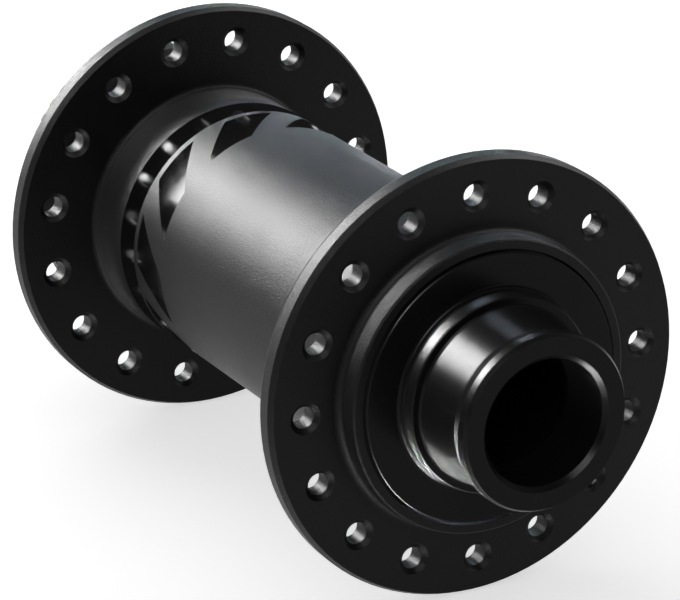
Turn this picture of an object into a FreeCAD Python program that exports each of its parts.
import FreeCAD, Part
import math
import os

import Sketcher
from FreeCAD import Placement, Rotation, Vector

# Front hub of a bicycle wheel, in millimetres.
# The axle lies along Y with the brake rotor's side at +Y, Z is up and the origin is
# midway between the two faces that the fork clamps.

SIZES = [
    # alias, size, what it is
    ("over_locknut", 110.0, "length between the two fork faces"),
    ("bearing_inset", 14.8, "fork face to the outer face of the nearer bearing"),
    ("right_flange_inset", 1.9, "outer face of the right bearing to the middle of the right flange"),
    ("left_flange_inset", 10.55, "rotor's stop to the middle of the left flange"),
    ("flange_diameter", 53.0, "rim of both flanges"),
    ("flange_rim_width", 1.65, "width of the cylindrical rim"),
    ("flange_edge_width", 0.8, "width of the sloped edge beside the rim"),
    ("flange_edge_drop", 0.4, "how far the sloped edge falls"),
    ("flange_root", 0.9, "fillet where a flange meets the body"),
    ("spoke_count", 16, "spoke holes in each flange"),
    ("spoke_place_share", 0.503, "place of the spoke holes between the boss and the rim"),
    ("spoke_hole", 2.6, "spoke hole diameter"),
    ("spoke_sink", 3.8, "diameter of the countersink's mouth"),
    ("spoke_sink_depth", 0.5, "depth of the countersink"),
    ("spoke_phase", 1.1, "turn of the shell about the axle at rest, degrees"),
    ("body_diameter", 32.0, "shell between the flanges"),
    ("body_wall", 2.6, "wall of the shell between the flanges"),
    ("relief_end", 3.5, "length of the thicker wall behind each bearing"),
    ("seat_shoulder", 0.8, "step in the shell that stops each bearing"),
    ("boss_wall", 1.15, "wall of the boss round the right cover"),
    ("boss_reach", 2.7, "outer face of the right bearing to the boss's front face"),
    ("boss_edge", 0.2, "broken edge of the boss"),
    ("neck_diameter", 31.0, "shell between the left flange and the rotor shoulder"),
    ("stop_inset", 1.6, "outer face of the left bearing to the face that the rotor rests on"),
    ("shoulder_height", 1.2, "height of the rotor's stop over the spline"),
    ("shoulder_width", 1.6, "width of the shoulder's rim"),
    ("shoulder_slope", 2.4, "length of the cone behind the shoulder"),
    ("spline_diameter", 34.8, "tips of the rotor spline"),
    ("spline_depth", 0.8, "depth of the rotor spline"),
    ("spline_count", 48, "teeth round the rotor spline"),
    ("spline_tip_share", 0.32, "share of a tooth's pitch that its tip takes"),
    ("spline_gap_share", 0.36, "share of a tooth's pitch left open at the bottom"),
    ("spline_reach", 5.4, "outer face of the left bearing to the end of the rotor spline"),
    ("spline_lead", 0.5, "sloped start of the teeth"),
    ("ring_thread_bore", 29.0, "bore for the rotor's lock ring"),
    ("bearing_outer", 26.0, "outside of a bearing"),
    ("bearing_section", 4.5, "thickness of a bearing between its bore and its outside"),
    ("bearing_width", 5.0, "width of a bearing"),
    ("bearing_edge", 0.3, "broken edges of the bearing rings"),
    ("ball_count", 14, "balls in a bearing"),
    ("ball_diameter", 2.6, "diameter of a ball"),
    ("race_depth", 0.2, "how deep a ball sits in each ring"),
    ("race_clearance", 0.03, "gap between a ball and its races"),
    ("cage_clearance", 0.12, "gap between a ball and its pocket"),
    ("cage_wall", 1.0, "thickness of the cage"),
    ("cage_seal_gap", 0.1, "gap between the cage's closed side and the seal"),
    ("cage_front", 0.9, "cage's open side, from the middle of the balls"),
    ("seal_width", 0.5, "thickness of a bearing seal"),
    ("seal_recess", 0.15, "how far a seal sits in from the bearing's face"),
    ("seal_groove", 0.3, "depth of the seal's seat in the outer ring"),
    ("seal_clearance", 0.05, "gap between a seal's lip and the inner ring"),
    ("seal_lip", 0.9, "length of the seal's thin lip"),
    ("seal_lip_thinning", 0.2, "how much thinner the lip is"),
    ("seat_lip", 0.2, "end of the bearing seat beyond the bearing"),
    ("sleeve_wall", 0.7, "wall of the axle sleeve under the bearings"),
    ("axle_step", 0.25, "how far the caps' bores, which carry the thru axle, stand in from the sleeve's"),
    ("spigot_step", 0.25, "how far a shoulder stays below the outside of the inner ring"),
    ("sleeve_reach", 6.8, "how far the sleeve stands out of each bearing"),
    ("sleeve_edge", 0.3, "broken edges of the sleeve's ends"),
    ("cap_face_slope", 0.5, "depth of the chamfer in the bore's mouth"),
    ("cap_mouth_drop", 0.55, "radial size of the same chamfer"),
    ("cap_clearance", 0.02, "radial gap between a cap and the sleeve"),
    ("cap_end_gap", 0.2, "gap between the sleeve's end and the cap"),
    ("cap_spigot_length", 0.5, "length of the part of a cap that rests on the inner ring"),
    ("cap_collar_height", 0.75, "collar of the left cap that its dust cover rests on"),
    ("cap_collar_width", 0.45, "width of the collar"),
    ("cap_ring_height", 1.1, "height of the ring round the right cap's neck"),
    ("cap_ring_width", 2.3, "width of the same ring"),
    ("cap_ring_edge", 0.15, "broken edge of the ring"),
    ("cap_neck_root", 0.35, "fillet between the ring and the neck"),
    ("cap_neck_wall", 2.15, "thick end of the neck, over the sleeve's outside"),
    ("cap_tip_wall", 1.5, "thin end of the neck, over the same"),
    ("cap_lip_wall", 2.0, "lip that seats in the fork, over the same"),
    ("cap_lip_width", 1.1, "width of the lip"),
    ("cap_lip_slope", 1.6, "length of the slope up to the lip"),
    ("cap_edge_width", 0.5, "depth of the chamfer on the cap's face"),
    ("cap_edge_drop", 0.3, "radial size of the same chamfer"),
    ("o_ring_thickness", 0.8, "thickness of an O-ring"),
    ("o_ring_depth", 3.4, "bearing face to the middle of the O-ring"),
    ("o_ring_side_gap", 0.15, "gap on each side of the O-ring in its groove"),
    ("cover_reach", 3.05, "outer face of the right bearing to the front of its cover"),
    ("cover_diameter", 32.4, "disc of the right cover"),
    ("cover_gap", 0.3, "radial gap between a cover and the shell"),
    ("cover_web", 1.0, "thickness of the right cover's disc"),
    ("cover_skirt", 0.7, "thickness of the skirt round the right cover"),
    ("cover_edge", 0.15, "broken edge of a cover"),
    ("left_cover_reach", 1.8, "outer face of the left bearing to the front of its cover"),
]

FITS = [
    # alias, formula, what it is
    ("half_length", "=sizes.over_locknut / 2", "hub centre to a fork face"),
    ("bearing_face", "=half_length - sizes.bearing_inset", "hub centre to a bearing's outer face"),
    ("bearing_half", "=sizes.bearing_width / 2", "half a bearing's width"),
    ("bearing_middle", "=bearing_face - bearing_half", "hub centre to a bearing's middle"),
    ("seat_end", "=bearing_face + sizes.seat_lip", "outer end of a bearing seat"),
    ("seat_start", "=bearing_face - sizes.bearing_width", "inner end of a bearing seat"),
    ("relief_reach", "=seat_start - sizes.relief_end", "end of the relief"),
    ("boss_face", "=bearing_face + sizes.boss_reach", "front of the right boss"),
    ("stop_face", "=bearing_face - sizes.stop_inset", "face that the rotor rests on"),
    ("spline_end", "=bearing_face + sizes.spline_reach", "end of the rotor spline"),
    ("flange_half", "=sizes.flange_rim_width / 2 + sizes.flange_edge_width", "half a flange's thickness"),
    ("right_flange", "=bearing_face - sizes.right_flange_inset", "middle of the right flange"),
    ("right_face_out", "=right_flange + flange_half", "outer face of the right flange"),
    ("right_face_in", "=right_flange - flange_half", "inner face of the right flange"),
    ("left_flange", "=stop_face - sizes.left_flange_inset", "middle of the left flange"),
    ("left_face_out", "=left_flange + flange_half", "outer face of the left flange"),
    ("left_face_in", "=left_flange - flange_half", "inner face of the left flange"),
    ("flange_radius", "=sizes.flange_diameter / 2", "rim radius"),
    ("flange_face_radius", "=flange_radius - sizes.flange_edge_drop", "edge of a flange's face"),
    ("body_radius", "=sizes.body_diameter / 2", "radius of the shell between the flanges"),
    ("relief_radius", "=body_radius - sizes.body_wall", "inside of the shell between the bearings"),
    ("bearing_radius", "=sizes.bearing_outer / 2", "outside of a bearing"),
    ("shell_bore_radius", "=bearing_radius - sizes.seat_shoulder", "hole behind each bearing"),
    ("cover_radius", "=sizes.cover_diameter / 2", "radius of the right cover"),
    ("recess_radius", "=cover_radius + sizes.cover_gap", "recess round the right cover"),
    ("boss_radius", "=recess_radius + sizes.boss_wall", "radius of the right boss"),
    ("spoke_radius", "=boss_radius + sizes.spoke_place_share * (flange_radius - boss_radius)",
     "circle of the spoke holes"),
    ("neck_radius", "=sizes.neck_diameter / 2", "radius of the left neck"),
    ("spline_radius", "=sizes.spline_diameter / 2", "tips of the rotor spline"),
    ("spline_root_radius", "=spline_radius - sizes.spline_depth", "bottom of the rotor spline"),
    ("shoulder_radius", "=spline_radius + sizes.shoulder_height", "rim of the rotor's stop"),
    ("thread_radius", "=sizes.ring_thread_bore / 2", "bore for the rotor's lock ring"),
    ("left_cover_radius", "=thread_radius - sizes.cover_gap", "radius of the left cover"),
    ("bearing_bore_radius", "=bearing_radius - sizes.bearing_section", "bore of a bearing"),
    ("sleeve_bore_radius", "=bearing_bore_radius - sizes.sleeve_wall", "bore of the axle sleeve"),
    ("axle_radius", "=sleeve_bore_radius - sizes.axle_step", "bores of the caps, for the thru axle"),
    ("pitch_radius", "=bearing_radius - sizes.bearing_section / 2", "circle of the ball centres"),
    ("ball_radius", "=sizes.ball_diameter / 2", "radius of a ball"),
    ("outer_land_radius", "=pitch_radius + ball_radius - sizes.race_depth", "inside of the outer ring"),
    ("inner_land_radius", "=pitch_radius - ball_radius + sizes.race_depth", "outside of the inner ring"),
    ("race_radius", "=ball_radius + sizes.race_clearance", "section of the races"),
    ("pocket_radius", "=ball_radius + sizes.cage_clearance", "pockets of the cage"),
    ("seal_seat_radius", "=outer_land_radius + sizes.seal_groove", "seat of a seal in the outer ring"),
    ("seal_front", "=bearing_half - sizes.seal_recess", "outer face of a seal"),
    ("seal_back", "=seal_front - sizes.seal_width", "inner face of a seal"),
    ("cage_back", "=seal_back - sizes.cage_seal_gap", "closed side of the cage"),
    ("spigot_radius", "=inner_land_radius - sizes.spigot_step", "shoulders that hold the inner ring"),
    ("spigot_end", "=bearing_face + sizes.cap_spigot_length", "end of a cap's spigot"),
    ("sleeve_end", "=bearing_face + sizes.sleeve_reach", "hub centre to the sleeve's end"),
    ("cap_socket_end", "=sleeve_end + sizes.cap_end_gap", "bottom of the cap's socket"),
    ("cap_socket_radius", "=bearing_bore_radius + sizes.cap_clearance", "socket for the sleeve"),
    ("cap_neck_radius", "=bearing_bore_radius + sizes.cap_neck_wall",
     "neck's thick end, which carries the cover"),
    ("cap_tip_radius", "=bearing_bore_radius + sizes.cap_tip_wall", "neck's thin end"),
    ("cap_lip_radius", "=bearing_bore_radius + sizes.cap_lip_wall", "lip"),
    ("cap_collar_radius", "=cap_neck_radius + sizes.cap_collar_height", "collar of the left cap"),
    ("cap_ring_radius", "=cap_neck_radius + sizes.cap_ring_height", "ring of the right cap"),
    ("cover_back", "=spigot_end + sizes.cap_collar_width", "inner side of both covers"),
    ("cover_face", "=bearing_face + sizes.cover_reach", "front of the right cover"),
    ("left_cover_face", "=bearing_face + sizes.left_cover_reach", "front of the left cover"),
    ("neck_start", "=cover_face + sizes.cap_ring_width", "front of the ring, where the neck starts"),
    ("o_ring_middle", "=bearing_face + sizes.o_ring_depth", "hub centre to an O-ring"),
    ("o_ring_radius", "=bearing_bore_radius + sizes.o_ring_thickness / 2", "middle circle of an O-ring"),
    ("o_ring_groove", "=bearing_bore_radius + sizes.o_ring_thickness", "bottom of the O-ring's groove"),
    ("o_ring_half_groove", "=sizes.o_ring_thickness / 2 + sizes.o_ring_side_gap", "half the groove"),
]

# the least volume that a cut has to take away
LEAST_CUT = 0.01
# how closely an edge has to match the radius and place it is looked up by
SAME = 1e-4
# a cutting outline that starts outside the shape reaches this much past it
PAST = 1.02
# a rotation by nothing loses its axis, so each one starts a little turned
FIRST_TURN = 0.1

OUTWARD = {"left": Rotation(Vector(0, 0, 1), 0), "right": Rotation(Vector(0, 0, 1), 180)}


def new_sheet(doc, name, rows):
    """A sheet with one alias, value and note in each row."""
    sheet = doc.addObject("Spreadsheet::Sheet", name)
    for row, (alias, value, note) in enumerate(rows, start=1):
        sheet.set(f"A{row}", alias)
        sheet.set(f"B{row}", str(value))
        sheet.setAlias(f"B{row}", alias)
        sheet.set(f"C{row}", note)
    doc.recompute()
    return sheet


doc = FreeCAD.newDocument("front_hub")
sizes = new_sheet(doc, "sizes", SIZES)
fits = new_sheet(doc, "fits", FITS)
nodes = []


def number(formula):
    """The present value of a formula that names cells of the sheets."""
    return float(fits.evalExpression(formula))


def new_body(name):
    body = doc.addObject("PartDesign::Body", name)
    body.Label = name
    nodes.append(body)
    return body


def origin_part(body, role):
    """One of the body's own origin planes or axes."""
    return next(part for part in body.Origin.OriginFeatures if part.Role == role)


def new_sketch(body, name, plane="XY_Plane"):
    sketch = body.newObject("Sketcher::SketchObject", name)
    sketch.AttachmentSupport = (origin_part(body, plane), [""])
    sketch.MapMode = "FlatFace"
    return sketch


def hold(sketch, kind, geometry, point, formula, label):
    """Ties one coordinate of a sketch's point to a formula."""
    constraint = Sketcher.Constraint(kind, -1, 1, geometry, point, number(formula))
    index = sketch.addConstraint(constraint)
    sketch.renameConstraint(index, label)
    sketch.setExpression(f"Constraints.{label}", formula)


def draw_outline(sketch, corners):
    """A closed outline of straight lines. Each corner is a radius and a place along the axle."""
    spots = [Vector(number(radius), number(place), 0) for radius, place in corners]
    count = len(spots)
    lines = [Part.LineSegment(spots[i], spots[(i + 1) % count]) for i in range(count)]
    sketch.addGeometry(lines, False)
    for i in range(count):
        sketch.addConstraint(Sketcher.Constraint("Coincident", i, 2, (i + 1) % count, 1))
    for i, (radius, place) in enumerate(corners):
        hold(sketch, "DistanceX", i, 1, radius, f"radius_{i}")
        hold(sketch, "DistanceY", i, 1, place, f"place_{i}")


def draw_circle(sketch, radius, place, size):
    """A circle whose centre is at a radius and a place along the axle."""
    centre = Vector(number(radius), number(place), 0)
    sketch.addGeometry(Part.Circle(centre, Vector(0, 0, 1), number(size)), False)
    hold(sketch, "DistanceX", 0, 3, radius, "radius")
    hold(sketch, "DistanceY", 0, 3, place, "place")
    index = sketch.addConstraint(Sketcher.Constraint("Radius", 0, number(size)))
    sketch.renameConstraint(index, "size")
    sketch.setExpression("Constraints.size", size)


def turn(body, sketch, name, kind="Revolution"):
    """Turns a sketch about the axle, as material or as a cut."""
    feature = body.newObject(f"PartDesign::{kind}", name)
    feature.Profile = sketch
    feature.ReferenceAxis = (sketch, ["V_Axis"])
    feature.Angle = 360
    doc.recompute()
    return feature


def turned_body(name, corners):
    """A body turned from one outline."""
    body = new_body(name)
    sketch = new_sketch(body, f"{name}_outline")
    draw_outline(sketch, corners)
    turn(body, sketch, f"{name}_turning")
    return body


def circle_edges(shape, rings):
    """Names of the full circular edges at the given radii and places."""
    names = []
    for index, edge in enumerate(shape.Edges, start=1):
        curve = edge.Curve
        if not isinstance(curve, Part.Circle):
            continue
        for radius, place in rings:
            same_size = abs(curve.Radius - number(radius)) < SAME
            if same_size and abs(curve.Center.y - number(place)) < SAME:
                names.append(f"Edge{index}")
    return names


def soften(body, kind, name, rings, size):
    """A fillet or chamfer on circular edges of the body."""
    base = body.Tip
    feature = body.newObject(f"PartDesign::{kind}", name)
    feature.Base = (base, circle_edges(base.Shape, rings))
    feature.setExpression("Radius" if kind == "Fillet" else "Size", size)
    doc.recompute()


def repeat_round_axle(body, feature, name, count):
    """Repeats a feature evenly round the axle."""
    pattern = body.newObject("PartDesign::PolarPattern", name)
    pattern.Originals = [feature]
    pattern.Axis = (origin_part(body, "Y_Axis"), [""])
    pattern.Angle = 360
    pattern.setExpression("Occurrences", count)
    body.Tip = pattern
    doc.recompute()


def check_cut(feature, before):
    """Stops the build if a cut took nothing away."""
    if before - feature.Shape.Volume < LEAST_CUT:
        raise RuntimeError(f"{feature.Name} cut nothing")


def stand_outward(body, side, place=None):
    """Turns a body built with its outer end at +Y to face its own side, and moves it there."""
    body.Placement = Placement(Vector(0, 0, 0), OUTWARD[side])
    if place is not None:
        sign = "" if side == "left" else "-"
        body.setExpression("Placement.Base.y", f"{sign}{place}")


def add_spoke_holes(shell, side, phase):
    """A ring of spoke holes through one flange, countersunk from both faces.

    The outline is half of a hole's section, turned about the hole's own axis.
    """
    name = f"{side}_spoke_hole"
    sign = "" if side == "left" else "-"
    outer = f"{sign}fits.{side}_face_out"
    inner = f"{sign}fits.{side}_face_in"
    away = "+" if side == "left" else "-"
    towards = "-" if side == "left" else "+"
    axis = "fits.spoke_radius"
    wall = f"{axis} + sizes.spoke_hole / 2"
    mouth = f"{axis} + sizes.spoke_sink / 2"
    sketch = new_sketch(shell, f"{name}_outline")
    sketch.AttachmentOffset = Placement(Vector(0, 0, 0), Rotation(Vector(0, 1, 0), FIRST_TURN))
    sketch.setExpression("AttachmentOffset.Rotation.Angle", phase)
    draw_outline(sketch, [
        (axis, f"{outer} {away} sizes.spoke_sink_depth"),
        (mouth, f"{outer} {away} sizes.spoke_sink_depth"),
        (mouth, outer),
        (wall, f"{outer} {towards} sizes.spoke_sink_depth"),
        (wall, f"{inner} {away} sizes.spoke_sink_depth"),
        (mouth, inner),
        (mouth, f"{inner} {towards} sizes.spoke_sink_depth"),
        (axis, f"{inner} {towards} sizes.spoke_sink_depth"),
    ])
    before = shell.Shape.Volume
    hole = shell.newObject("PartDesign::Groove", name)
    hole.Profile = sketch
    hole.ReferenceAxis = (sketch, ["Edge8"])
    hole.Angle = 360
    doc.recompute()
    check_cut(hole, before)
    repeat_round_axle(shell, hole, f"{name}s", "sizes.spoke_count")


def add_rotor_spline(shell):
    """The teeth that carry the brake rotor: one gap cut from the end, repeated round the axle."""
    pitch = "(360 / sizes.spline_count)"
    bottom_half = f"(sizes.spline_gap_share * {pitch} / 2)"
    top_half = f"((1 - sizes.spline_tip_share) * {pitch} / 2)"
    root = "fits.spline_root_radius"
    beyond = f"(fits.spline_radius * {PAST})"
    sketch = new_sketch(shell, "spline_gap_outline", "XZ_Plane")
    sketch.AttachmentOffset = Placement(Vector(0, 0, -number("fits.spline_end")), Rotation())
    sketch.setExpression("AttachmentOffset.Base.z", "-fits.spline_end")
    corners = [
        (f"{root} * cos({bottom_half})", f"-{root} * sin({bottom_half})"),
        (f"{beyond} * cos({top_half})", f"-{beyond} * sin({top_half})"),
        (f"{beyond} * cos({top_half})", f"{beyond} * sin({top_half})"),
        (f"{root} * cos({bottom_half})", f"{root} * sin({bottom_half})"),
    ]
    draw_outline(sketch, corners)
    before = shell.Shape.Volume
    gap = shell.newObject("PartDesign::Pocket", "spline_gap")
    gap.Profile = sketch
    gap.setExpression("Length", "fits.spline_end - fits.stop_face")
    gap.Reversed = True
    doc.recompute()
    check_cut(gap, before)
    repeat_round_axle(shell, gap, "rotor_spline", "sizes.spline_count")


def make_hub_shell():
    """The shell turned in one piece, then rounded, drilled and splined."""
    flange = "fits.flange_radius"
    flange_face = "fits.flange_face_radius"
    half_rim = "sizes.flange_rim_width / 2"
    corners = [
        # right end, from the cover's recess out over the boss
        ("fits.recess_radius", "-fits.seat_end"),
        ("fits.recess_radius", "-fits.boss_face"),
        ("fits.boss_radius", "-fits.boss_face"),
        ("fits.boss_radius", "-fits.right_face_out"),
        # right flange
        (flange_face, "-fits.right_face_out"),
        (flange, f"-fits.right_flange - {half_rim}"),
        (flange, f"-fits.right_flange + {half_rim}"),
        (flange_face, "-fits.right_face_in"),
        ("fits.body_radius", "-fits.right_face_in"),
        # left flange
        ("fits.body_radius", "fits.left_face_in"),
        (flange_face, "fits.left_face_in"),
        (flange, f"fits.left_flange - {half_rim}"),
        (flange, f"fits.left_flange + {half_rim}"),
        (flange_face, "fits.left_face_out"),
        ("fits.neck_radius", "fits.left_face_out"),
        # rotor shoulder and spline
        ("fits.neck_radius", "fits.stop_face - sizes.shoulder_width - sizes.shoulder_slope"),
        ("fits.shoulder_radius", "fits.stop_face - sizes.shoulder_width"),
        ("fits.shoulder_radius", "fits.stop_face"),
        ("fits.spline_radius", "fits.stop_face"),
        ("fits.spline_radius", "fits.spline_end - sizes.spline_lead"),
        ("fits.spline_root_radius", "fits.spline_end"),
        # bore, from the left end back to the right end
        ("fits.thread_radius", "fits.spline_end"),
        ("fits.thread_radius", "fits.seat_end"),
        ("fits.bearing_radius", "fits.seat_end"),
        ("fits.bearing_radius", "fits.seat_start"),
        ("fits.shell_bore_radius", "fits.seat_start"),
        ("fits.shell_bore_radius", "fits.relief_reach"),
        ("fits.relief_radius", "fits.relief_reach"),
        ("fits.relief_radius", "-fits.relief_reach"),
        ("fits.shell_bore_radius", "-fits.relief_reach"),
        ("fits.shell_bore_radius", "-fits.seat_start"),
        ("fits.bearing_radius", "-fits.seat_start"),
        ("fits.bearing_radius", "-fits.seat_end"),
    ]
    shell = turned_body("hub_shell", corners)
    roots = [
        ("fits.boss_radius", "-fits.right_face_out"),
        ("fits.body_radius", "-fits.right_face_in"),
        ("fits.body_radius", "fits.left_face_in"),
        ("fits.neck_radius", "fits.left_face_out"),
    ]
    soften(shell, "Fillet", "flange_roots", roots, "sizes.flange_root")
    soften(shell, "Chamfer", "boss_edge", [("fits.boss_radius", "-fits.boss_face")], "sizes.boss_edge")
    add_spoke_holes(shell, "right", "0")
    add_spoke_holes(shell, "left", "-180 / sizes.spoke_count")
    add_rotor_spline(shell)
    shell.Placement = Placement(Vector(0, 0, 0), Rotation(Vector(0, -1, 0), FIRST_TURN))
    shell.setExpression("Placement.Rotation.Angle", "sizes.spoke_phase")


def make_outer_ring(side):
    name = f"{side}_bearing_outer_ring"
    land = "fits.outer_land_radius"
    seat = "fits.seal_seat_radius"
    outside = "fits.bearing_radius"
    edge = "sizes.bearing_edge"
    ring = turned_body(name, [
        (land, "-fits.seal_back"),
        (seat, "-fits.seal_back"),
        (seat, "-fits.bearing_half"),
        (f"{outside} - {edge}", "-fits.bearing_half"),
        (outside, f"-fits.bearing_half + {edge}"),
        (outside, f"fits.bearing_half - {edge}"),
        (f"{outside} - {edge}", "fits.bearing_half"),
        (seat, "fits.bearing_half"),
        (seat, "fits.seal_back"),
        (land, "fits.seal_back"),
    ])
    cut_race(ring, name)
    stand_outward(ring, side, "fits.bearing_middle")


def make_inner_ring(side):
    name = f"{side}_bearing_inner_ring"
    land = "fits.inner_land_radius"
    bore = "fits.bearing_bore_radius"
    edge = "sizes.bearing_edge"
    ring = turned_body(name, [
        (f"{bore} + {edge}", "-fits.bearing_half"),
        (land, "-fits.bearing_half"),
        (land, "fits.bearing_half"),
        (f"{bore} + {edge}", "fits.bearing_half"),
        (bore, f"fits.bearing_half - {edge}"),
        (bore, f"-fits.bearing_half + {edge}"),
    ])
    cut_race(ring, name)
    stand_outward(ring, side, "fits.bearing_middle")


def cut_race(ring, name):
    """The round groove that the balls run in."""
    sketch = new_sketch(ring, f"{name}_race_outline")
    draw_circle(sketch, "fits.pitch_radius", "0", "fits.race_radius")
    turn(ring, sketch, f"{name}_race", "Groove")


def make_balls(side):
    """The balls of one bearing, as one group."""
    balls = []
    count = round(number("sizes.ball_count"))
    for index in range(count):
        angle = 2 * math.pi * index / count
        ball = doc.addObject("Part::Sphere", f"{side}_ball_{index + 1}")
        ball.setExpression("Radius", "fits.ball_radius")
        ball.Placement = Placement(Vector(1, 0, 0), Rotation())
        ball.setExpression("Placement.Base.x", f"fits.pitch_radius * {math.cos(angle):.9f}")
        ball.setExpression("Placement.Base.z", f"fits.pitch_radius * {math.sin(angle):.9f}")
        balls.append(ball)
    group = doc.addObject("Part::Compound", f"{side}_bearing_balls")
    group.Label = f"{side}_bearing_balls"
    group.Links = balls
    nodes.append(group)
    doc.recompute()
    stand_outward(group, side, "fits.bearing_middle")


def make_cage(side):
    """A ring with a round pocket for each ball, open on the inner side so that it snaps on."""
    name = f"{side}_bearing_cage"
    inside = "fits.pitch_radius - sizes.cage_wall / 2"
    outside = "fits.pitch_radius + sizes.cage_wall / 2"
    cage = turned_body(name, [
        (inside, "-sizes.cage_front"),
        (outside, "-sizes.cage_front"),
        (outside, "fits.cage_back"),
        (inside, "fits.cage_back"),
    ])
    sketch = new_sketch(cage, f"{name}_pocket_outline")
    middle = Vector(number("fits.pitch_radius"), 0, 0)
    radius = number("fits.pocket_radius")
    arc = Part.ArcOfCircle(Part.Circle(middle, Vector(0, 0, 1), radius), -math.pi / 2, math.pi / 2)
    ends = (middle + Vector(0, radius, 0), middle - Vector(0, radius, 0))
    sketch.addGeometry([arc, Part.LineSegment(*ends)], False)
    sketch.addConstraint([
        Sketcher.Constraint("Coincident", 0, 2, 1, 1),
        Sketcher.Constraint("Coincident", 1, 2, 0, 1),
        Sketcher.Constraint("Vertical", 1),
        Sketcher.Constraint("PointOnObject", 0, 3, 1),
        Sketcher.Constraint("PointOnObject", 0, 3, -1),
    ])
    hold(sketch, "DistanceX", 0, 3, "fits.pitch_radius", "pitch")
    index = sketch.addConstraint(Sketcher.Constraint("Radius", 0, radius))
    sketch.renameConstraint(index, "pocket")
    sketch.setExpression("Constraints.pocket", "fits.pocket_radius")
    pocket = cage.newObject("PartDesign::Groove", f"{name}_pocket")
    pocket.Profile = sketch
    pocket.ReferenceAxis = (sketch, ["Edge2"])
    pocket.Angle = 360
    doc.recompute()
    repeat_round_axle(cage, pocket, f"{name}_pockets", "sizes.ball_count")
    stand_outward(cage, side, "fits.bearing_middle")


def make_seal(side, face):
    """A rubber seal held in the outer ring, with a thin lip close to the inner ring."""
    name = f"{side}_bearing_{face}_seal"
    sign = "" if face == "outer" else "-"
    lip_end = "fits.inner_land_radius + sizes.seal_clearance"
    lip_start = f"{lip_end} + sizes.seal_lip"
    rim = "fits.seal_seat_radius"
    front = f"{sign}fits.seal_front"
    back = f"{sign}fits.seal_back"
    thin_front = f"{sign}(fits.seal_front - sizes.seal_lip_thinning)"
    seal = turned_body(name, [
        (lip_end, back),
        (rim, back),
        (rim, front),
        (lip_start, front),
        (lip_end, thin_front),
    ])
    stand_outward(seal, side, "fits.bearing_middle")


def make_axle_sleeve():
    """The hollow axle: a thick middle stops both bearings, thin ends carry them and the caps."""
    bore = "fits.sleeve_bore_radius"
    end = "fits.bearing_bore_radius"
    edge = "sizes.sleeve_edge"
    turned_body("axle_sleeve", [
        (bore, "-fits.sleeve_end"),
        (f"{end} - {edge}", "-fits.sleeve_end"),
        (end, f"-fits.sleeve_end + {edge}"),
        (end, "-fits.seat_start"),
        ("fits.spigot_radius", "-fits.seat_start"),
        ("fits.spigot_radius", "fits.seat_start"),
        (end, "fits.seat_start"),
        (end, f"fits.sleeve_end - {edge}"),
        (f"{end} - {edge}", "fits.sleeve_end"),
        (bore, "fits.sleeve_end"),
    ])


def make_end_cap(side):
    """The cap that slides on the sleeve and seats in the fork, with an O-ring groove inside.

    The right cap has a ring in front of its dust cover, the left one a collar behind its own.
    """
    bore = "fits.axle_radius"
    socket = "fits.cap_socket_radius"
    groove = "fits.o_ring_groove"
    face = "fits.half_length"
    lip_front = f"{face} - sizes.cap_edge_width"
    lip_back = f"{lip_front} - sizes.cap_lip_width"
    neck_tip = f"{lip_back} - sizes.cap_lip_slope"
    neck = "fits.cap_neck_radius"
    ring = "fits.cap_ring_radius"
    collar = "fits.cap_collar_radius"
    edge = "sizes.cap_ring_edge"
    spigot = [
        (socket, "fits.bearing_face"),
        ("fits.spigot_radius", "fits.bearing_face"),
        ("fits.spigot_radius", "fits.spigot_end"),
    ]
    if side == "right":
        cover_stop = [
            (neck, "fits.spigot_end"),
            (neck, "fits.cover_face"),
            (ring, "fits.cover_face"),
            (ring, f"fits.neck_start - {edge}"),
            (f"{ring} - {edge}", "fits.neck_start"),
        ]
    else:
        cover_stop = [
            (collar, "fits.spigot_end"),
            (collar, "fits.cover_back"),
            (neck, "fits.cover_back"),
        ]
    front_and_bore = [
        (neck, "fits.neck_start"),
        ("fits.cap_tip_radius", neck_tip),
        ("fits.cap_lip_radius", lip_back),
        ("fits.cap_lip_radius", lip_front),
        ("fits.cap_lip_radius - sizes.cap_edge_drop", face),
        (f"{bore} + sizes.cap_mouth_drop", face),
        (bore, f"{face} - sizes.cap_face_slope"),
        (bore, "fits.cap_socket_end"),
        (socket, "fits.cap_socket_end"),
        (socket, "fits.o_ring_middle + fits.o_ring_half_groove"),
        (groove, "fits.o_ring_middle + fits.o_ring_half_groove"),
        (groove, "fits.o_ring_middle - fits.o_ring_half_groove"),
        (socket, "fits.o_ring_middle - fits.o_ring_half_groove"),
    ]
    cap = turned_body(f"{side}_end_cap", spigot + cover_stop + front_and_bore)
    if side == "right":
        soften(cap, "Fillet", "neck_root", [(neck, "fits.neck_start")], "sizes.cap_neck_root")
    stand_outward(cap, side)


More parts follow.
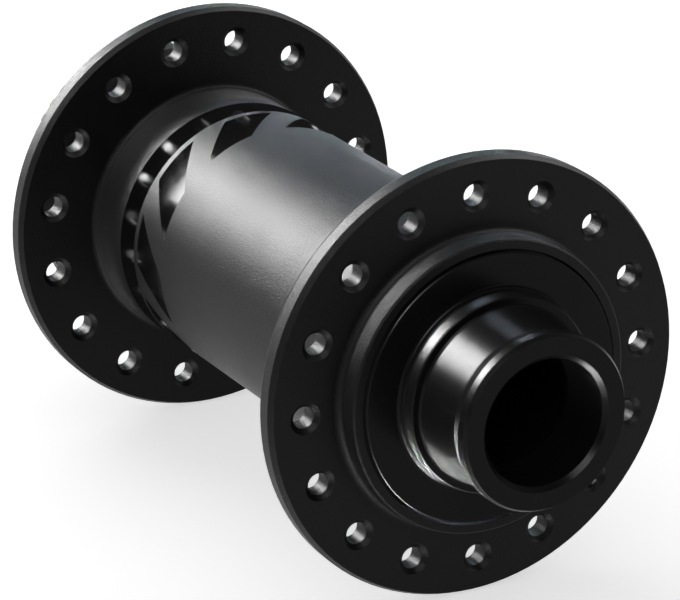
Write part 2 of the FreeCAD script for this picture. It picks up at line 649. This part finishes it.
def make_right_dust_cover():
    """The cup that shields the right bearing, pressed on the cap up to the back of its ring."""
    bore = "fits.cap_neck_radius"
    hub = "fits.cap_ring_radius"
    edge = "sizes.cover_edge"
    web_back = "fits.cover_face - sizes.cover_web"
    cover = turned_body("right_dust_cover", [
        (bore, "fits.cover_back"),
        (hub, "fits.cover_back"),
        (hub, web_back),
        ("fits.cover_radius - sizes.cover_skirt", web_back),
        ("fits.cover_radius - sizes.cover_skirt", "fits.cover_back"),
        ("fits.cover_radius", "fits.cover_back"),
        ("fits.cover_radius", f"fits.cover_face - {edge}"),
        (f"fits.cover_radius - {edge}", "fits.cover_face"),
        (bore, "fits.cover_face"),
    ])
    stand_outward(cover, "right")


def make_left_dust_cover():
    """The flat disc that shields the left bearing, low enough for the rotor's lock ring."""
    bore = "fits.cap_neck_radius"
    edge = "sizes.cover_edge"
    cover = turned_body("left_dust_cover", [
        (bore, "fits.cover_back"),
        ("fits.left_cover_radius", "fits.cover_back"),
        ("fits.left_cover_radius", f"fits.left_cover_face - {edge}"),
        (f"fits.left_cover_radius - {edge}", "fits.left_cover_face"),
        (bore, "fits.left_cover_face"),
    ])
    stand_outward(cover, "left")


def make_o_ring(side):
    name = f"{side}_cap_o_ring"
    ring = new_body(name)
    sketch = new_sketch(ring, f"{name}_outline")
    draw_circle(sketch, "fits.o_ring_radius", "0", "sizes.o_ring_thickness / 2")
    turn(ring, sketch, f"{name}_turning")
    stand_outward(ring, side, "fits.o_ring_middle")


make_hub_shell()
make_axle_sleeve()
make_right_dust_cover()
make_left_dust_cover()
for side in ("right", "left"):
    make_outer_ring(side)
    make_inner_ring(side)
    make_balls(side)
    make_cage(side)
    make_seal(side, "outer")
    make_seal(side, "inner")
    make_end_cap(side)
    make_o_ring(side)

doc.recompute()
for item in doc.Objects:
    if "Invalid" in item.State or "Error" in item.State:
        raise RuntimeError(f"{item.Name} failed: {item.State}")
for node in nodes:
    if node.Shape.isNull() or not node.Shape.isValid():
        raise RuntimeError(f"{node.Label} has no valid shape")

os.makedirs("parts", exist_ok=True)
for node in nodes:
    node.Shape.exportStep(f"parts/{node.Label}.step")
    print(f"{node.Label}: {len(node.Shape.Solids)} solid(s), {node.Shape.Volume:.1f} mm3")
